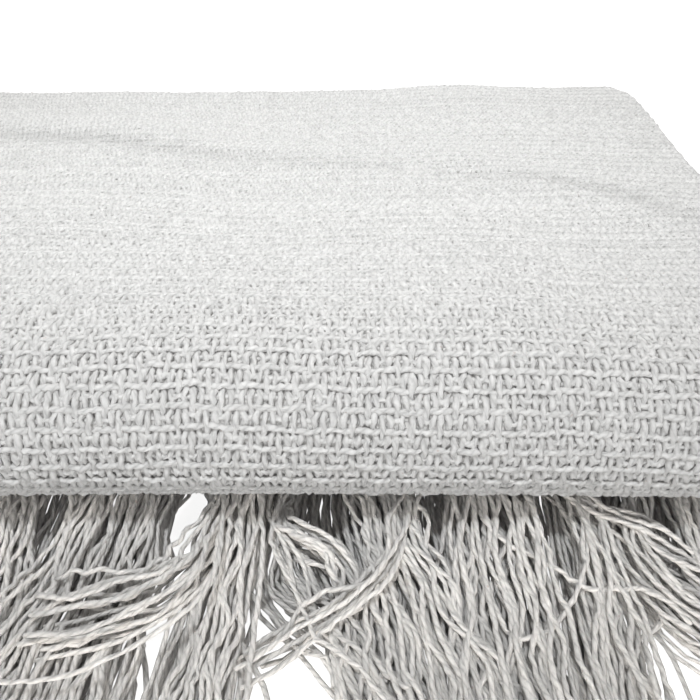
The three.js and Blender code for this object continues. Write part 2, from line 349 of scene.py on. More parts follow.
def wovenFaceGroup():
    # the same weave seen on the folds' sides, where no yarns are laid, as a bump and as painted shade: u runs
    # four warps to one, v four picks
    group, given, made, calc = nodeGroup("wovenFace", wovenLook["given"])
    u, v = uvParts(group)

    def ridges(way, perRepeat, roundness):
        swing = calc("COSINE", calc("MULTIPLY", way, perRepeat * math.pi))
        return calc("POWER", calc("ABSOLUTE", swing), roundness)

    row = calc("ROUND", calc("MULTIPLY", v, 2))
    offset = calc("MULTIPLY", calc("FLOORED_MODULO", row, 2), 0.5)
    shifted = calc("SUBTRACT", calc("SUBTRACT", u, 0.25), offset)
    dash = calc("COSINE", calc("MULTIPLY", shifted, 2 * math.pi))
    dash = calc("MULTIPLY_ADD", dash, *wovenLook["dash"])
    dash = calc("MINIMUM", calc("MAXIMUM", dash, 0), 1)
    weft = calc("MULTIPLY", ridges(v, 2, wovenLook["weftRound"]), dash)
    warp = ridges(u, 4, wovenLook["warpRound"])
    stitch = calc("MULTIPLY", warp, calc("SUBTRACT", 1.0, weft))
    height = calc("MAXIMUM", weft, calc("MULTIPLY", stitch, wovenLook["warpHeight"]))
    fuzz = noiseNode(group, wovenLook["fuzzNoise"])
    relief = calc("ADD", calc("MULTIPLY", height, given["Depth"]), calc("MULTIPLY", fuzz, given["Fuzz"]))
    group.links.new(bumpNode(group, relief), made["Normal"])
    # painted shade: the low places of the weave are coloured darker, the high ones lighter
    light = calc("MULTIPLY_ADD", height, *wovenLook["light"])
    group.links.new(mixNode(group, "MULTIPLY", 1, given["Color"], light), made["Color"])
    return group


cottons = {
    "warpCotton": {"Color": (0.85, 0.842, 0.832, 1), "Turns": 20, "Twist": 0.12},
    "weftCotton": {"Color": (0.865, 0.857, 0.847, 1), "Turns": 70, "Twist": 0.14},
    "fringeCotton": {"Color": (0.842, 0.828, 0.811, 1), "Turns": 14, "Twist": 0.26},
    "sheetCotton": {"Color": (0.83, 0.815, 0.80, 1)},
}


dull = {"Roughness": 0.9, "Specular IOR Level": 0.25, "Sheen Weight": 0.25}


def dullMaterial(name, look):
    material = bpy.data.materials.new(name)
    material.use_nodes = True
    shader = material.node_tree.nodes["Principled BSDF"]
    for label, value in {**dull, **look}.items():
        shader.inputs[label].default_value = value
    return material, material.node_tree, shader


def cottonMaterial(name, group):
    material, tree, shader = dullMaterial(name, {"Base Color": cottons[name]["Color"]})
    cotton = addNode(tree, "Group")
    cotton.node_tree = group
    for label, value in cottons[name].items():
        feed(tree, cotton.inputs[label], value)
    tree.links.new(cotton.outputs["Color"], shader.inputs["Base Color"])
    tree.links.new(cotton.outputs["Normal"], shader.inputs["Normal"])
    return material


cottonFibre = fibreGroup()
warpCotton = cottonMaterial("warpCotton", cottonFibre)
weftCotton = cottonMaterial("weftCotton", cottonFibre)
fringeCotton = cottonMaterial("fringeCotton", cottonFibre)
sheetCotton = cottonMaterial("sheetCotton", wovenFaceGroup())


# The weave: warps run round the fold from fringe to fringe, picks across; one repeat is four of each

weave = {
    "warpPitch": 1.75,
    "pickPitch": 2.4,
    "warpRadius": 0.90,
    "weftRadius": 0.84,
    "slub": 0.14,  # how much thicker or thinner a yarn is from place to place, as a share
    "warpUp": 0.40,
    "warpDown": -0.62,
    "warpDeep": -0.75,
    "longRise": 0.60,  # a long weft stitch at its middle
    "longShoulder": 0.46,
    "shortRise": 0.20,
    "weftDown": -0.55,
    "gather": 0.40,  # how far two warps lean together over the one that lies deep
    "jitter": 0.34,
    "warpJitter": 0.1,  # of a warp's stitches along it
    "unevenHeight": 0.10,
    "swell": 0.04,  # how much higher a weft is between two warps that it lies the same way on
    "wander": 0.25,  # how far a weft strays from its row over a longer stretch
    "worn": 0.72,  # how much flatter the stitches are where the top has been lain on
    "wornFrom": -5,
    "wornTo": 60,
    "fuller": 0.16,  # and how much fatter the yarns
    "fullerTo": 75,
    "roundLeft": 0.8,  # how far the yarns go round each side turn, as a share of it
    "roundRight": 0.95,
    "bends": ((25, 60), (11, 19)),  # how long a weft's wanderings are
}
# where woven yarns are laid, and where the skin is let down for them
zones = {
    "underNose": 45,  # this far in under the front fold
    "topFar": 78,  # behind this the yarns have fewer points
    "underEnd": 226,  # and round the far end as far back in as this
    "backStart": 2,  # this much before the back fold starts to turn
    "backEnd": 6,  # and this much before it ends
    "bedUnderNose": 62,
    "bedBack": 4,
}


# The sheet: the whole folded cloth as one thin closed skin

sheetSteps = {"across": 16, "smallTurn": 5, "bigTurn": 8, "level": 6, "top": 36, "turn": 18, "end": 12}
yarnBed = {"front": 1.6, "top": 1.1, "topFrom": 60}  # how far the skin lies under the woven yarns


def sheetSection():
    # the quartered width seen end on, as rows of x, n, normal x, normal n and 1 on the outermost ply
    middle = []
    half = fold["pitch"] / 2

    def run(n, heading, outermost):
        for step in range(sheetSteps["across"] + 1):
            share = step / sheetSteps["across"]
            share = share if heading > 0 else 1 - share
            x = leftTurnX + (rightTurnX - leftTurnX) * share
            middle.append((x, n, 0, heading, outermost))

    def turn(x, n, radius, bulge, rising, steps, outermost):
        for step in range(1, steps):
            angle = math.pi * (step / steps - 0.5) * rising
            outX, outN = math.cos(angle) * bulge, math.sin(angle)
            facing = -bulge * rising
            middle.append((x + outX * radius, n + outN * radius, outX * facing, outN * facing, outermost))

    run(-half, 1, 0)
    turn(rightTurnX, 0, half, 1, 1, sheetSteps["smallTurn"], 0)
    run(half, -1, 0)
    turn(leftTurnX, 2 * half, half, -1, 1, sheetSteps["smallTurn"], 1)
    run(3 * half, 1, 1)
    turn(rightTurnX, 0, 3 * half, 1, -1, sheetSteps["bigTurn"], 1)
    run(-3 * half, -1, 0)
    thick = fold["ply"] / 2
    outline = []
    for side, rows in ((1, middle), (-1, middle[::-1])):
        for x, n, nx, nn, outermost in rows:
            outline.append((x + nx * thick * side, n + nn * thick * side, nx * side, nn * side, outermost))
    return np.array(outline)


def wayAlong(points):
    # the distance along a row of points to each of them
    return np.concatenate([[0], np.cumsum(np.linalg.norm(np.diff(points, axis=0), axis=1))])


def readAlong(where, way, points):
    return np.stack([np.interp(where, way, column) for column in points.T], axis=-1)


def yarnCover(stations):
    # 1 where woven yarns are laid over the outermost face, 0 where the skin shows
    y, z, along, onTop = stations[:, 0], stations[:, 1], stations[:, 4], stations[:, 5]
    order = np.arange(len(y)) / len(y)
    front = (along > 0.5) & (order < 0.5) & ((along > 1) | (y < zones["bedUnderNose"]))
    back = (order > 0.45) & (y > backFoldY + zones["bedBack"] * np.sign(z - layerMiddles[1]))
    return (front | back | (onTop > 0)).astype(float)


def buildSheet():
    section = sheetSection()
    stations = foldStations(sheetSteps["level"], sheetSteps["top"], sheetSteps["turn"], sheetSteps["end"])
    cover = yarnCover(stations)
    around, along = len(section), len(stations)
    bm = bmesh.new()
    bmesh.ops.create_grid(bm, x_segments=around, y_segments=along - 1, size=1)
    bm.verts.ensure_lookup_table()
    flat = np.array([vert.co[:2] for vert in bm.verts])
    u = np.rint((flat[:, 0] + 1) / 2 * around).astype(int)
    v = np.rint((flat[:, 1] + 1) / 2 * (along - 1)).astype(int)
    # the uv counts repeats of the weave, four warps and four picks each
    ring = np.vstack([section[:, :2], section[:1, :2]])
    roundWay = wayAlong(ring) / (4 * weave["warpPitch"])
    pathWay = wayAlong(stations[:, :2]) / (4 * weave["pickPitch"])
    layer = bm.loops.layers.uv.new("UVMap")
    for face in bm.faces:
        for loop in face.loops:
            index = loop.vert.index
            loop[layer].uv = (roundWay[u[index]], pathWay[v[index]])
    u = u % around
    part, station = section[u], stations[v]
    # only the face that looks out of the fold is let down under its yarns
    looksOut = (part[:, 4] > 0) & outwardFace(part)
    towardTop = smoothStep(station[:, 0], 0, yarnBed["topFrom"])
    bed = yarnBed["front"] + (yarnBed["top"] - yarnBed["front"]) * towardTop
    sink = bed * cover[v] * looksOut
    points = place(part[:, 0] - part[:, 2] * sink, part[:, 1] - part[:, 3] * sink, station)
    for vert, point in zip(bm.verts, points):
        vert.co = point
    bmesh.ops.remove_doubles(bm, verts=bm.verts, dist=1e-7)
    ends = [edge for edge in bm.edges if edge.is_boundary]
    bmesh.ops.edgeloop_fill(bm, edges=ends)
    bmesh.ops.recalc_face_normals(bm, faces=bm.faces)
    return pieceFromMesh("folded_cloth", bm, sheetCotton)


def outwardFace(part):
    # the outermost ply has two faces: the one turned away from the bundle's middle looks out
    middleX = np.clip(part[:, 0], leftTurnX, rightTurnX)
    reachX = (part[:, 0] - middleX) * part[:, 2]
    reachN = (part[:, 1] - np.where(part[:, 0] < leftTurnX, fold["pitch"], 0)) * part[:, 3]
    return reachX + reachN > 0


def intoScene(name, data):
    thing = bpy.data.objects.new(name, data)
    bpy.context.collection.objects.link(thing)
    return thing


def pieceFromMesh(name, bm, material):
    mesh = bpy.data.meshes.new(name)
    bm.to_mesh(mesh)
    bm.free()
    mesh.shade_smooth()
    mesh.materials.append(material)
    piece = intoScene(name, mesh)
    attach(piece, "root")
    return piece


clothSheet = buildSheet()
print("sheet", len(clothSheet.data.polygons))


# Woven yarns laid over every face of the fold that shows

dense = foldStations(400, 500, 120, 60)
denseWay = wayAlong(dense[:, :2] + dense[:, 2:4] * 1.5 * fold["pitch"])


def wayWhere(test, last=False):
    # the distance along the outermost ply at which a test of the stations first holds, or last
    found = np.nonzero(test)[0]
    return denseWay[found[-1] if last else found[0]]


def acrossAt(across, height):
    # across is measured along the outermost ply, round both side turns; height is out of its middle
    radiusRight, radiusLeft = 1.5 * fold["pitch"], 0.5 * fold["pitch"]
    right = np.maximum(across - rightTurnX, 0) / radiusRight
    left = np.maximum(leftTurnX - across, 0) / radiusLeft
    x = np.clip(across, leftTurnX, rightTurnX)
    n = np.full_like(x, 1.5 * fold["pitch"])
    x = x + np.sin(right) * (radiusRight + height) - np.sin(left) * (radiusLeft + height)
    n = np.where(right > 0, np.cos(right) * (radiusRight + height),
                 np.where(left > 0, fold["pitch"] + np.cos(left) * (radiusLeft + height), n + height))
    return x, n


def layOnCloth(across, way, height):
    station = readAlong(way, denseWay, dense)
    worn = smoothStep(station[..., 0], weave["wornFrom"], weave["wornTo"]) * (station[..., 4] == 2)
    flatter = 1 - weave["worn"] * worn
    x, n = acrossAt(across, height * flatter)
    return place(x, n, station)


def weftIsOver(warp, pick):
    kind = pick % 4
    if kind == 0:
        return warp % 4 != 3
    if kind == 2:
        return warp % 4 != 1
    return warp % 4 == kind


def tubes(name, lines, radius, sides, material, slub=0.06, fuller=0):
    # lines of points in metres become round yarns: one spline each, given its thickness by the bevel
    curve = bpy.data.curves.new(name, "CURVE")
    curve.dimensions = "3D"
    curve.bevel_depth = 1.0
    curve.bevel_resolution = (sides - 4) // 2
    curve.use_fill_caps = True
    dice = np.random.RandomState(len(lines))
    for line in lines:
        spline = curve.splines.new("POLY")
        spline.points.add(len(line) - 1)
        spline.points.foreach_set("co", np.c_[line, np.ones(len(line))].ravel())
        thickness = radius * mm * (1 + dice.normal(0, slub, len(line)) + dice.normal(0, slub / 2))
        thickness *= 1 + fuller * smoothStep(line[:, 1] / mm - shiftY, 0, weave["fullerTo"])
        spline.points.foreach_set("radius", thickness)
    holder = intoScene(name, curve)
    mesh = bpy.data.meshes.new_from_object(holder.evaluated_get(bpy.context.evaluated_depsgraph_get()))
    bpy.data.objects.remove(holder)
    bm = bmesh.new()
    bm.from_mesh(mesh)
    bmesh.ops.remove_doubles(bm, verts=bm.verts, dist=1e-8)
    piece = pieceFromMesh(name, bm, material)
    if fuller:
        paintCreaseShade(piece)
    return piece


def paintCreaseShade(piece):
    # painted shade along the pressed line: an attribute on the yarns on top that darkens their colour
    spots = np.zeros(3 * len(piece.data.vertices))
    piece.data.vertices.foreach_get("co", spots)
    x, y, z = spots.reshape(-1, 3).T / mm
    onTop = z > layerMiddles[2]
    shade = pressedAndPaintedShade(x - shiftX, y - shiftY) * pressedLine["shade"] * onTop
    piece.data.attributes.new("pressedAndPaintedShade", "FLOAT", "POINT").data.foreach_set("value", shade)


warpFirst = math.ceil((leftTurnX - 0.5 * fold["pitch"] * math.pi * weave["roundLeft"]) / weave["warpPitch"])
warpLast = math.floor((rightTurnX + 1.5 * fold["pitch"] * math.pi * weave["roundRight"]) / weave["warpPitch"])
warpNumbers = range(warpFirst, warpLast + 1)

# each warp's unevenness at every half pick, the same for two zones where they meet
stitchDice = np.random.RandomState(5)
stitches = (len(warpNumbers), 2 * math.ceil(denseWay[-1] / weave["pickPitch"]) + 2)
uneven = {
    "across": stitchDice.uniform(-1, 1, stitches) * weave["jitter"],
    "way": stitchDice.uniform(-1, 1, stitches) * weave["warpJitter"],
    "height": stitchDice.normal(0, weave["unevenHeight"], stitches),
}


def warpHeight(warp, halfPick):
    # halfPick counts half picks: even ones are at a weft, odd ones between two
    def atPick(pick):
        return weave["warpDown"] if weftIsOver(warp, pick) else weave["warpUp"]

    if halfPick % 2 == 0:
        return atPick(halfPick // 2)
    below, above = atPick(halfPick // 2), atPick(halfPick // 2 + 1)
    if below < 0 and above < 0:
        return weave["warpDeep"]
    return (below + above) / 2


def warpLean(warp, halfPick):
    # every other warp leans to and fro over a repeat of eight half picks
    if warp % 2:
        return 0
    side = 1 if warp % 4 == 0 else -1
    return side * (1, 1, 1, 0, -1, -1, -1, 0)[halfPick % 8] * weave["gather"]


def weftHeight(warp, pick):
    if not weftIsOver(warp, pick):
        return weave["weftDown"]
    if pick % 2:
        return weave["shortRise"]
    middle = 1 if pick % 4 == 0 else 3
    return weave["longRise"] if warp % 4 == middle else weave["longShoulder"]


def layWeave(label, fromWay, toWay, finer, joined=0):
    # finer is 2 for a point at and between the stitches, 1 for one at each stitch
    dice = np.random.RandomState(round(fromWay))
    pickFirst = math.ceil(fromWay / weave["pickPitch"])
    pickLast = math.floor(toWay / weave["pickPitch"])
    halves = np.arange((pickFirst - joined) * 2, pickLast * 2 + 1, 1 if finer == 2 else 2)
    way = halves * weave["pickPitch"] / 2
    warps = []
    for row, warp in enumerate(warpNumbers):
        heights = np.array([warpHeight(warp, half) for half in halves]) + uneven["height"][row, halves]
        lean = np.array([warpLean(warp, half) for half in halves])
        across = warp * weave["warpPitch"] + lean + uneven["across"][row, halves]
        warps.append(layOnCloth(across, way + uneven["way"][row, halves], heights))
    wefts = []
    numbers = np.array(warpNumbers)
    for pick in range(pickFirst, pickLast + 1):
        heights = np.array([weftHeight(warp, pick) for warp in numbers])
        across = numbers * weave["warpPitch"]
        if finer == 2:
            between = np.arange(2 * len(numbers) - 1) / 2
            across = np.interp(between, np.arange(len(numbers)), across)
            heights = np.interp(between, np.arange(len(numbers)), heights)
            heights[1::2] += np.where(np.diff(heights[::2]) == 0, weave["swell"], 0)
        wander = sum(wave(across / dice.uniform(*bend) + dice.uniform()) for bend in weave["bends"])
        wander = weave["wander"] * wander * dice.uniform(0.3, 1)
        heights = heights + dice.normal(0, weave["unevenHeight"], len(across))
        ways = pick * weave["pickPitch"] + dice.uniform(-1, 1, len(across)) * weave["jitter"] + wander
        wefts.append(layOnCloth(across, ways, heights))
    pieces = [tubes(kind + label, lines, radius, 4, material, weave["slub"], weave["fuller"])
              for kind, lines, radius, material in (("warps_", warps, weave["warpRadius"], warpCotton),
                                                    ("wefts_", wefts, weave["weftRadius"], weftCotton))]
    print("weave", label, pickLast - pickFirst, [len(piece.data.polygons) for piece in pieces])
    return pieces


depth, layer, onTop = dense[:, 0], dense[:, 4], dense[:, 5]
firstHalf = np.arange(len(dense)) < len(dense) / 2
underNoseWay = wayWhere((layer == 1) & (depth < zones["underNose"]) & firstHalf)
topFarWay = wayWhere((onTop > 0) & (depth > zones["topFar"]))
endWay = wayWhere(onTop > 0, last=True)
underEndWay = wayWhere((layer == 2) & (onTop == 0) & (depth < zones["underEnd"]) & (denseWay > endWay))
backStartWay = wayWhere((layer == 1) & (depth > backFoldY - zones["backStart"]) & (denseWay > underEndWay))
backEndWay = wayWhere((layer == 0) & (denseWay > backStartWay)) - zones["backEnd"]

wovenPieces = layWeave("front", underNoseWay, topFarWay, 2)
wovenPieces += layWeave("top", topFarWay, underEndWay, 1, 1)
wovenPieces += layWeave("back", backStartWay, backEndWay, 1)


# Fringe: every warp yarn goes on past the hem, four plies at each end of the throw

yarn = {
    "length": 92.0,
    "vary": 0.06,  # how much longer or shorter, as a share
    "step": 2.0,
    "radius": 0.69,
    "kink": 0.16,
    "rooted": 2.0,  # how far each strand starts inside its ply
    "rootJitter": 0.3,
    "straightTo": 10.0,  # it leaves the ply straight, and is in its tuft from here
    "pitch": {"upper": 1.9, "lower": 2.75},
    "settling": 14,
    "sideReach": 163.0,
    "sag": 0.12,
    "hold": 0.10,
    "press": 0.80,  # how near two strands come, as a share of their thickness
    "near": 1.6,  # strands within this many times that are looked at
    "push": 0.3,
    "mostPush": 0.8,
    "stiffness": 0.06,
    "clearance": 0.3,  # between the strands and the front fold
    "floorRest": 1.3,  # the height of a strand's middle above the floor, in radii
    "gathered": 17,  # a tuft is drawn together by this far from its roots
    "openFrom": 30,  # and opens again from here
    "curve": 30,  # how often a tuft's way is smoothed
    "waviness": (0.35, 0.5),
    "waves": ((1.0, 5.5, 9.5), (2.4, 18.0, 36.0)),  # sideways by, from this long to this long
    "drift": 2.6,  # how far a strand leaves its place in the tuft by its end
    "driftFrom": 14,
    "tuftTurn": 0.3,  # how far a strand goes round in its tuft, in radians, and further where it opens
    "openTurn": 0.4,
    "loosen": 0.15,  # how much flatter the pile is by its end
    "strays": 0.05,
    "strayDrift": 13.0,
    "shown": (-90, 130),  # from left to right, the strands that the picture shows
    "height": {"upper": 13, "lower": 5},  # of the tufts beyond the picture
}


def tuftTo(right, squeeze, spread, *way):
    return {"right": right, "squeeze": squeeze, "spread": spread, "way": list(way)}


# Tufts that the picture shows, left to right: where their roots end on the right, how far the roots
# draw together and the ends open, and the way they lie from under the front fold: x, y, z of the middle
upperTufts = [
    (-62, 0.60, 1.0, (-76, 18, 13), (-74, 5, 12), (-73, -7, 8), (-76, -30, 5)),
    (-45, 0.64, 1.5, (-49, 15, 15), (-50, 4, 13), (-54, -12, 8), (-62, -34, 5)),
    (-25, 0.80, 1.2, (-36, 15, 14), (-36, 2, 12), (-39, -12, 8), (-42, -36, 5)),
    (-17, 0.70, 1.2, (-13, 15, 16), (-15, 2, 15), (-18, -10, 15), (-28, -18, 15), (-46, -22, 13),
     (-64, -20, 8)),
    (0, 0.80, 1.1, (-9, 15, 15), (-9, 0, 13), (-11, -15, 8), (-14, -38, 5)),
    (6, 0.70, 1.0, (1, 15, 13), (3, 4, 12), (8, -8, 9), (20, -22, 6)),
    (14, 0.65, 1.2, (5, 16, 9), (4, 5, 12), (9, 0, 17), (18, -3, 15), (22, -12, 9), (22, -30, 5)),
    (34, 0.72, 1.4, (28, 16, 16), (30, 2, 14), (34, -14, 9), (38, -36, 5)),
    (39, 0.80, 1.8, (36, 16, 17), (37, 5, 17), (34, -6, 17), (26, -16, 15), (13, -22, 9), (-3, -30, 5)),
    (46, 0.65, 1.3, (38, 14, 15), (41, -2, 13), (48, -20, 8), (57, -38, 5)),
    (57, 0.62, 1.2, (53, 14, 14), (52, 0, 12), (51, -16, 8), (50, -40, 5)),
    (76, 0.88, 1.1, (66, 15, 16), (66, 0, 13), (66, -16, 8), (66, -40, 5)),
    (82, 0.75, 1.6, (82, 16, 15), (89, 10, 16), (99, 4, 14), (114, -2, 9), (134, -12, 5)),
    (95, 0.72, 1.5, (86, 14, 15), (87, 0, 13), (88, -15, 8), (87, -38, 5)),
    (108, 0.62, 1.5, (101, 16, 13), (98, 6, 12), (99, -3, 10), (106, -13, 8), (120, -21, 6),
     (136, -25, 5)),
    (124, 0.68, 1.5, (118, 16, 13), (116, 4, 11), (117, -8, 8), (130, -20, 5)),
]
lowerTufts = [
    (-73, 0.75, 1.3, (-84, 20, 5), (-84, 0, 4), (-86, -36, 4)),
    (-50, 0.90, 1.4, (-62, 20, 5), (-63, 0, 4), (-62, -36, 4)),
    (-26, 0.84, 1.0, (-39, 20, 5), (-40, 0, 4), (-42, -36, 4)),
    (-5, 0.72, 0.8, (-12, 20, 5), (-11, 0, 4), (-15, -36, 4)),
    (8, 1.05, 1.1, (4, 20, 5), (1, 4, 4), (0, -6, 4), (5, -13, 4), (17, -20, 4), (28, -34, 4)),
    (37, 0.84, 0.8, (19, 20, 5), (23, 0, 4), (32, -36, 4)),
    (62, 0.86, 0.9, (49, 20, 5), (51, 0, 4), (53, -36, 4)),
    (86, 0.95, 1.0, (75, 20, 5), (73, 0, 4), (72, -36, 4)),
    (104, 0.95, 0.9, (93, 20, 5), (90, 0, 4), (84, -36, 4)),
    (126, 0.80, 1.0, (113, 20, 5), (110, 5, 4), (105, -9, 4), (108, -19, 4), (124, -25, 4)),
]
# Single strands that lie over the rest
looseStrands = [
    [(59, 36, 20), (58, 16, 18), (58, 4, 17), (64, -2, 16), (76, -7, 14), (82, -14, 13), (91, -12, 13),
     (99, -12, 12), (106, -17, 10), (107, -25, 7)],
    [(88, 36, 20), (87, 12, 18), (84, -6, 15), (77, -17, 12), (70, -24, 11), (63, -26, 10),
     (59, -24, 10), (58, -15, 12)],
    [(-8, 36, 20), (-11, 10, 18), (-17, -8, 16), (-27, -19, 15), (-42, -25, 13), (-58, -27, 11),
     (-70, -22, 9)],
    [(-6, 36, 20), (-10, 8, 19), (-18, -6, 18), (-32, -12, 18), (-47, -15, 15), (-58, -21, 11),
     (-60, -28, 8)],
    [(-70, 36, 20), (-68, 18, 18), (-64, 6, 16), (-66, -5, 13), (-76, -12, 10), (-86, -10, 6)],
    [(80, 36, 20), (82, 17, 18), (90, 11, 17), (99, 8, 16), (103, 1, 14), (101, -9, 10), (108, -20, 6)],
    [(30, 36, 20), (31, 14, 19), (36, 0, 18), (44, -12, 14), (51, -24, 9), (62, -36, 6)],
    [(110, 36, 20), (108, 16, 17), (103, 6, 14), (106, -6, 10), (104, -16, 7), (97, -20, 5)],
]


# and by chance, where the picture shows none
chance = {"wide": (15, 24), "lean": (-5, 5), "bend": (-8, 8), "squeeze": (0.74, 0.9), "spread": (1.0, 1.5)}


def fillTufts(shown, dice, height):
    def plain(left, right):
        middle = (left + right) / 2
        lean, bend = dice.uniform(*chance["lean"]), dice.uniform(*chance["bend"])
        return tuftTo(right, dice.uniform(*chance["squeeze"]), dice.uniform(*chance["spread"]),
                      (middle, 16, height), (middle + lean * 0.3, 2, height * 0.8),
                      (middle + lean, -14, height * 0.6), (middle + lean + bend, -38, 5))

    tufts = []
    shown = [tuftTo(*row) for row in shown]
    right = 2 * shown[0]["way"][0][0] - shown[0]["right"]
    while right > leftTurnX - 3:
        left = right - dice.uniform(*chance["wide"])
        tufts.insert(0, plain(max(left, leftTurnX - 3), right))
        right = left
    tufts += shown
    left = shown[-1]["right"]
    while left < rightTurnX + 3:
        right = left + dice.uniform(*chance["wide"])
        tufts.append(plain(left, min(right, rightTurnX + 3)))
        left = right
    return tufts


def wayOfKnots(knots):
    # the knots with one more added straight on, so that a strand never runs out of its way
    knots = np.array(knots, float)
    knots = np.vstack([knots, knots[-1] + (knots[-1] - knots[-2]) * (1, 1, 0) * 3])
    return knots, wayAlong(knots)


def soften(points, share):
    points[..., 1:-1, :] += share * (points[..., :-2, :] + points[..., 2:, :] - 2 * points[..., 1:-1, :])


def oneLong(rows):
    return rows / np.linalg.norm(rows, axis=1)[:, None]


def strandTargets(tufts, middleZ, pitch, dice):
    # one row of points for each strand, evenly spaced along it, in the fold's millimetres
    rootY = fold["setback"] + yarn["rooted"]
    roots = np.arange(math.ceil(leftTurnX / pitch), rightTurnX / pitch) * pitch
    rights = np.array([tuft["right"] for tuft in tufts])
    count = round(yarn["length"] / yarn["step"]) + 1
    strands, plies = [], []
    for ply in range(4):
        n = (ply - 1.5) * fold["pitch"]
        stagger = pitch * (ply * 0.5 % 1 + 0.25 * (ply // 2))
        for rootX in roots + stagger + dice.uniform(-1, 1, len(roots)) * yarn["rootJitter"]:
            which = min(int(np.searchsorted(rights, rootX)), len(tufts) - 1)
            tuft = tufts[which]
            left = rights[which - 1] if which else leftTurnX
            middle = (left + rights[which]) / 2
            side = rootX - middle
            along = np.arange(count) * yarn["step"] * (1 + dice.uniform(-1, 1) * yarn["vary"])
            knots, reach = wayOfKnots([(middle, rootY, middleZ)] + tuft["way"])
            fine = np.arange(0, reach[-1], 1.0)
            curve = readAlong(fine, reach, knots)
            for _ in range(yarn["curve"]):
                soften(curve, 0.25)
            centre = readAlong(along, fine, curve)
            way = oneLong(np.gradient(centre, axis=0))
            lateral = oneLong(np.cross(way, (0, 0, -1.0)))
            upward = np.cross(way, lateral)
            upward *= np.sign(upward[:, 2:3])
            gather = smoothStep(along, 0, yarn["gathered"])
            opening = smoothStep(along, yarn["openFrom"], yarn["length"])
            reachOut = 1 + (tuft["squeeze"] - 1) * gather + (tuft["spread"] - tuft["squeeze"]) * opening
            turnBy = gather * dice.normal(0, yarn["tuftTurn"]) + opening * dice.normal(0, yarn["openTurn"])
            pile = n * (1 - yarn["loosen"] * opening)
            leave = yarn["strayDrift"] if dice.uniform() < yarn["strays"] else yarn["drift"]
            leaving = smoothStep(along, yarn["driftFrom"], yarn["length"] * 0.9)
            off = side * reachOut + dice.normal(0, leave) * leaving
            for amount, shortest, longest in yarn["waves"]:
                length = dice.uniform(shortest, longest)
                size = amount * abs(dice.normal(*yarn["waviness"])) * gather
                off = off + size * wave(along / length + dice.uniform())
                pile = pile + 0.5 * size * wave(along / length + dice.uniform())
            across = off * np.cos(turnBy) - pile * np.sin(turnBy)
            above = pile * np.cos(turnBy) + np.clip(off, -4, 4) * np.sin(turnBy)
            # side-stepping from the root line is along x, whichever way the tuft turns later
            line = centre + lateral * across[:, None] + upward * above[:, None]
            start = np.array([rootX, rootY, middleZ + n])
            ease = smoothStep(along, 0, yarn["straightTo"])[:, None]
            line = line * ease + (start + along[:, None] * (0, -1, 0)) * (1 - ease)
            strands.append(line)
            plies.append(ply)
    return np.array(strands), np.array(plies)


def looseTargets(dice):
    along = np.arange(round(yarn["length"] / yarn["step"]) + 1) * yarn["step"]
    lines = []
    for knots in looseStrands:
        knots, reach = wayOfKnots(knots)
        line = readAlong(along, reach, knots)
        for _ in range(8):
            soften(line, 0.25)
        sway = smoothStep(along, 4, 20)
        for axis in (0, 1):
            line[:, axis] += 0.5 * sway * wave(along / dice.uniform(8, 12) + dice.uniform())
        lines.append(line)
    return np.array(lines)


def nearPairs(points, reach):
    # every two points in the same cell of a grid, or in cells side by side
    cells = np.floor(points / reach).astype(np.int64) + 512
    keys = (cells[:, 0] * 1024 + cells[:, 1]) * 1024 + cells[:, 2]
    order = np.argsort(keys, kind="stable")
    ranked = keys[order]
    firsts, seconds = [], []
    steps = [(x, y, z) for x in (-1, 0, 1) for y in (-1, 0, 1) for z in (-1, 0, 1) if (x, y, z) >= (0, 0, 0)]
    for x, y, z in steps:
        wanted = ranked + (x * 1024 + y) * 1024 + z
        low = np.searchsorted(ranked, wanted, "left")
        if (x, y, z) == (0, 0, 0):
            low = np.arange(len(ranked)) + 1
        high = np.searchsorted(ranked, wanted, "right")
        counts = np.maximum(high - low, 0)
        first = np.repeat(np.arange(len(ranked)), counts)
        within = np.arange(counts.sum()) - np.repeat(np.cumsum(counts) - counts, counts)
        second = within + np.repeat(low, counts)
        firsts.append(order[first])
        seconds.append(order[second])
    return np.concatenate(firsts), np.concatenate(seconds)


